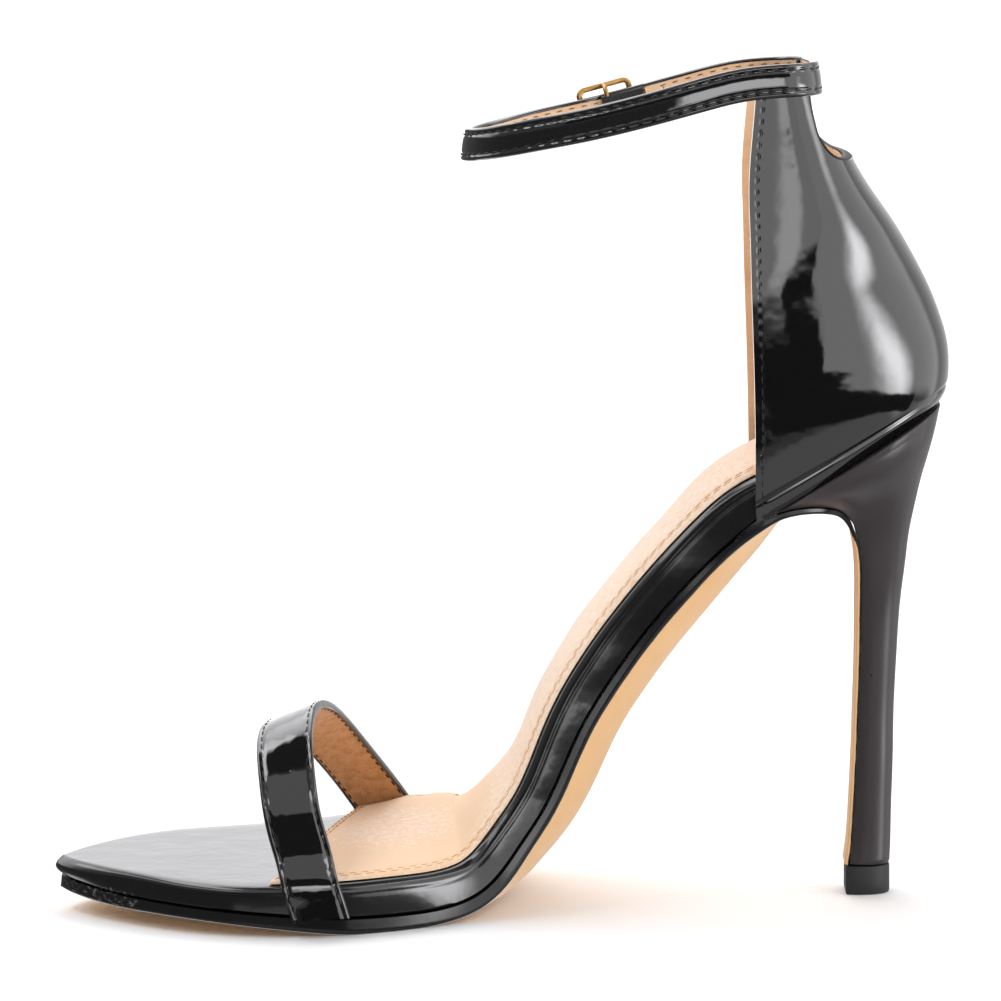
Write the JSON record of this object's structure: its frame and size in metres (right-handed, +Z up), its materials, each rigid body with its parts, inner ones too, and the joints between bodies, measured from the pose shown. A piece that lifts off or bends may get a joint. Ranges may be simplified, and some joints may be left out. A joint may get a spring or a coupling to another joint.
{
  "type": "strappy heeled sandal",
  "caption": "High-heeled sandal for the right foot, with one strap over the toes, a closed heel and a thin buckled ankle strap.",
  "frame": {"origin": "middle of the shoe's length and width, on the floor that the sole and heel stand on", "axes": "+X from toe to heel, +Y to the outer side with the buckle, +Z up"},
  "size_m": [0.2122, 0.0875, 0.2003],
  "materials": {
    "sole_leather": "smooth tan, black along the edge",
    "patent_rand": "black patent",
    "patent_upper": "black patent, tan lining",
    "lining_leather": "matt tan",
    "heel_cover": "satin black cover",
    "top_lift_rubber": "matt black",
    "elastic_webbing": "ribbed black elastic",
    "gold_buckle": "polished, gold colour"
  },
  "bodies": {
    "root": {"outsole": "sole_leather", "footbed_board": "patent_rand", "sock": "lining_leather", "heel": "heel_cover", "top_lift": "top_lift_rubber", "toe_strap": "patent_upper", "heel_upper": "patent_upper", "elastic": "elastic_webbing", "buckle_frame": "gold_buckle", "buckle_prong": "gold_buckle"}
  },
  "joints": []
}
